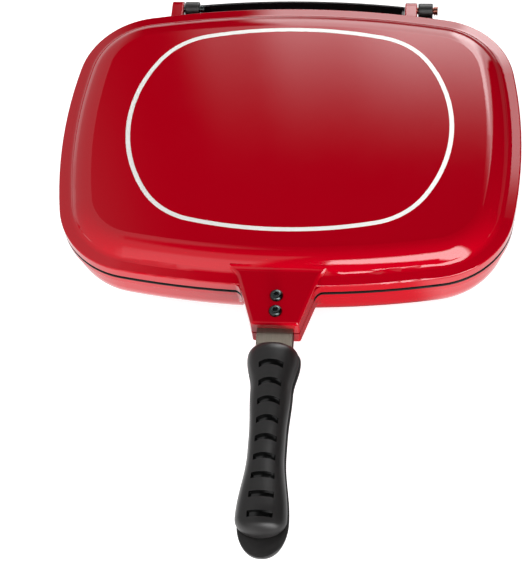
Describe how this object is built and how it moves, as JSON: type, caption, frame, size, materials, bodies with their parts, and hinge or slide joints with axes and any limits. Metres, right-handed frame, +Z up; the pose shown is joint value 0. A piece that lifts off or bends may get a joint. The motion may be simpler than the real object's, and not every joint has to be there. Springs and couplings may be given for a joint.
{
  "type": "double sided flip pan",
  "caption": "Closed double sided frying pan: two hinged red cast halves, a black handle on each, a seal between the rims and a slide-off drip tray behind.",
  "frame": {"origin": "centre of the flat base that the closed pan rests on", "axes": "+Z up, +Y towards the hinge, the handles point to -Y, +X to the right seen from the handles"},
  "size_m": [0.32, 0.4315, 0.065],
  "materials": {
    "red_enamel": "gloss",
    "nonstick_black": "satin",
    "ring_metal": "satin",
    "silicone": "matte",
    "grip_black": "satin",
    "tray_black": "satin",
    "tang_steel": "satin",
    "pin_steel": "satin",
    "screw_black": "gloss",
    "magnet_nickel": "satin"
  },
  "bodies": {
    "lower_half": {"lower_pan": "red_enamel", "lower_tang": "tang_steel", "lower_tang_screw_rear": "screw_black", "lower_tang_screw_front": "screw_black", "lower_grip": "grip_black", "lower_grip_screw": "pin_steel", "lower_grip_magnet": "magnet_nickel", "silicone_gasket": "silicone"},
    "upper_half": {"upper_pan": "red_enamel", "upper_tang": "tang_steel", "upper_tang_screw_rear": "screw_black", "upper_tang_screw_front": "screw_black", "upper_grip": "grip_black", "upper_grip_screw": "pin_steel", "upper_grip_magnet": "magnet_nickel", "hinge_pin_left": "pin_steel", "hinge_pin_right": "pin_steel"},
    "drip_tray": {"drip_tray": "tray_black"}
  },
  "joints": [
    {"name": "lid_hinge", "type": "hinge", "parent": "lower_half", "child": "upper_half", "pos_m": [0, 0.123, 0.045], "axis": [-1, 0, 0], "range_deg": [0, 110]},
    {"name": "tray_slide", "type": "slide", "parent": "lower_half", "child": "drip_tray", "axis": [0, 1, 0], "range_m": [0, 0.02]}
  ]
}
